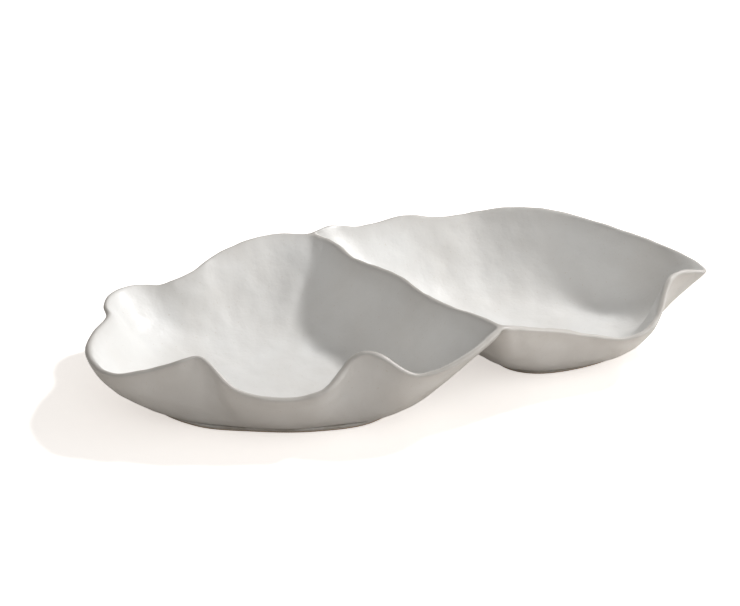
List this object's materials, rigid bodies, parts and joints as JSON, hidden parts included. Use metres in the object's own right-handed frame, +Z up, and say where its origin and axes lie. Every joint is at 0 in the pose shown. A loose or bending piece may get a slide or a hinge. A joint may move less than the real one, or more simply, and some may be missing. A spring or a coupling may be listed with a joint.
{
  "type": "chip and dip server",
  "caption": "Ceramic server of a larger and a smaller wavy-rimmed bowl joined along a shared ridge, on low feet, for chips and dip.",
  "frame": {"origin": "on the table surface, under the middle of the server's bounding box", "axes": "+X along the server's length from the chip bowl towards the dip bowl, +Y to the back, +Z up"},
  "size_m": [0.4508, 0.2344, 0.0721],
  "materials": {
    "glaze": "satin off-white glaze, slightly uneven from the hand-formed clay below it",
    "bare_clay": "wiped foot with a thin skin of the same glaze on its side and bare buff clay where it stands",
    "glazed_coil": "the same satin off-white glaze over a smoothed clay coil"
  },
  "bodies": {
    "root": {"chip_bowl": "glaze", "dip_bowl": "glaze", "chip_bowl_foot": "bare_clay", "dip_bowl_foot": "bare_clay", "joint_coil": "glazed_coil"}
  },
  "joints": []
}
